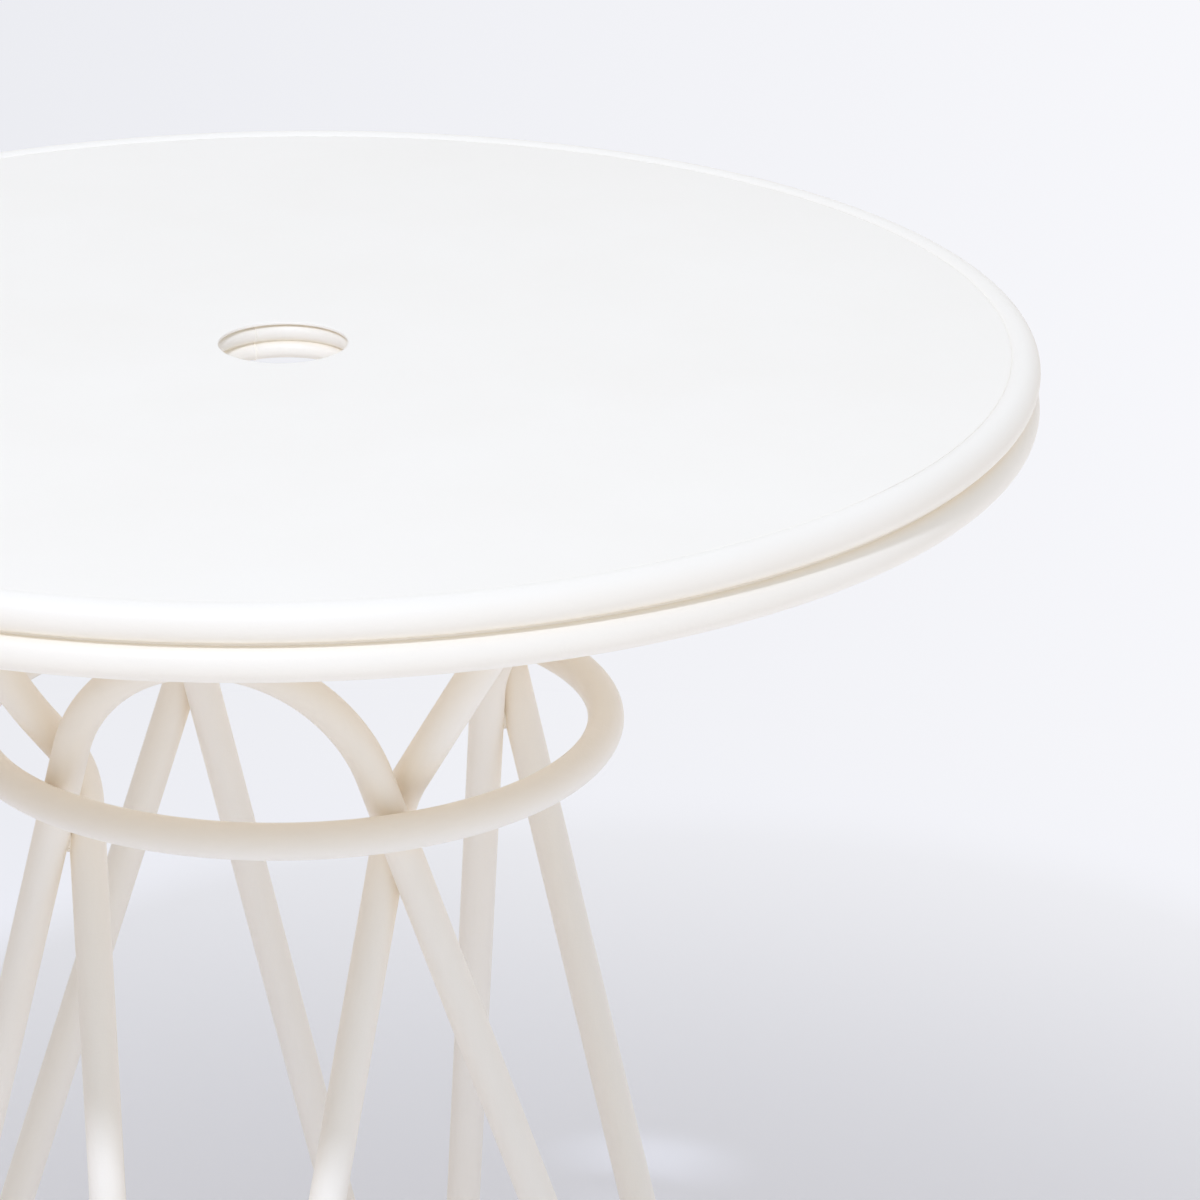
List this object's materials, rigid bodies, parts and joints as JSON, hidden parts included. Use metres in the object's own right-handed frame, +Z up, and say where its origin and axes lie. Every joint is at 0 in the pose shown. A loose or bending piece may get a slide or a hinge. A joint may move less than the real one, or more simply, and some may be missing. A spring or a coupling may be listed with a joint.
{
  "type": "cafe table",
  "caption": "Round outdoor cafe table in tubular steel: sheet top with a parasol hole in a double tube rim, on crossing bent-tube arches tied by a hoop.",
  "frame": {"origin": "on the floor, below the middle of the top", "axes": "+Z up, -Y to the front where the picture was taken from; the base is turned a little about Z"},
  "size_m": [0.6999, 0.7, 0.74],
  "materials": {
    "powder_coat": "matt powder coat with a fine grain",
    "zinc_steel": "zinc plated",
    "foot_plastic": "matt"
  },
  "bodies": {
    "root": {"top_panel": "powder_coat", "upper_rim_tube": "powder_coat", "lower_rim_tube": "powder_coat", "upper_collar_ring": "powder_coat", "lower_collar_ring": "powder_coat", "waist_hoop": "powder_coat", "front_arch": "powder_coat", "front_spoke": "powder_coat", "front_mounting_plate": "powder_coat", "front_post": "powder_coat", "front_arch_right_foot_plug": "foot_plastic", "front_arch_left_foot_plug": "foot_plastic", "right_arch": "powder_coat", "right_spoke": "powder_coat", "right_mounting_plate": "powder_coat", "right_arch_right_foot_plug": "foot_plastic", "right_arch_left_foot_plug": "foot_plastic", "back_arch": "powder_coat", "back_spoke": "powder_coat", "back_mounting_plate": "powder_coat", "back_post": "powder_coat", "back_arch_right_foot_plug": "foot_plastic", "back_arch_left_foot_plug": "foot_plastic", "left_arch": "powder_coat", "left_spoke": "powder_coat", "left_mounting_plate": "powder_coat", "left_arch_right_foot_plug": "foot_plastic", "left_arch_left_foot_plug": "foot_plastic", "mounting_screws": "zinc_steel", "mounting_washers": "zinc_steel", "rivet_nuts": "zinc_steel"}
  },
  "joints": []
}
